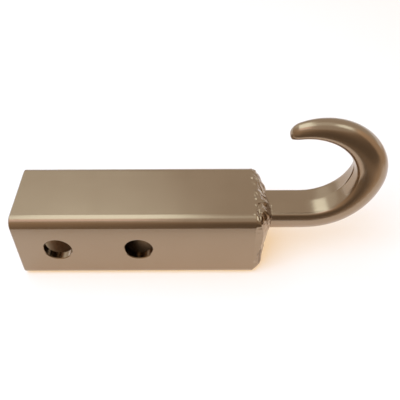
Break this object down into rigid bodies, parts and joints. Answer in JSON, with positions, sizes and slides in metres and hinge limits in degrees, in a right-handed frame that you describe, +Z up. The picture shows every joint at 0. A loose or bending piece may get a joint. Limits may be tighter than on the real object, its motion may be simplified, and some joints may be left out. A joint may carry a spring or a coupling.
{
  "type": "recovery tow hook",
  "caption": "Square receiver tube with cross holes for a hitch pin, closed at the front by a plate that carries a welded, forged round-bar hook.",
  "frame": {"origin": "on the underside of the square tube, below the axis of the front pin hole", "axes": "+X along the tube towards the hook, +Y along the pin holes, +Z up, away from the underside"},
  "size_m": [0.2279, 0.0508, 0.1062],
  "materials": {
    "paint": "satin taupe paint over steel"
  },
  "bodies": {
    "root": {"receiver_tube": "paint", "end_plate": "paint", "tow_hook": "paint", "weld_bead": "paint"}
  },
  "joints": []
}
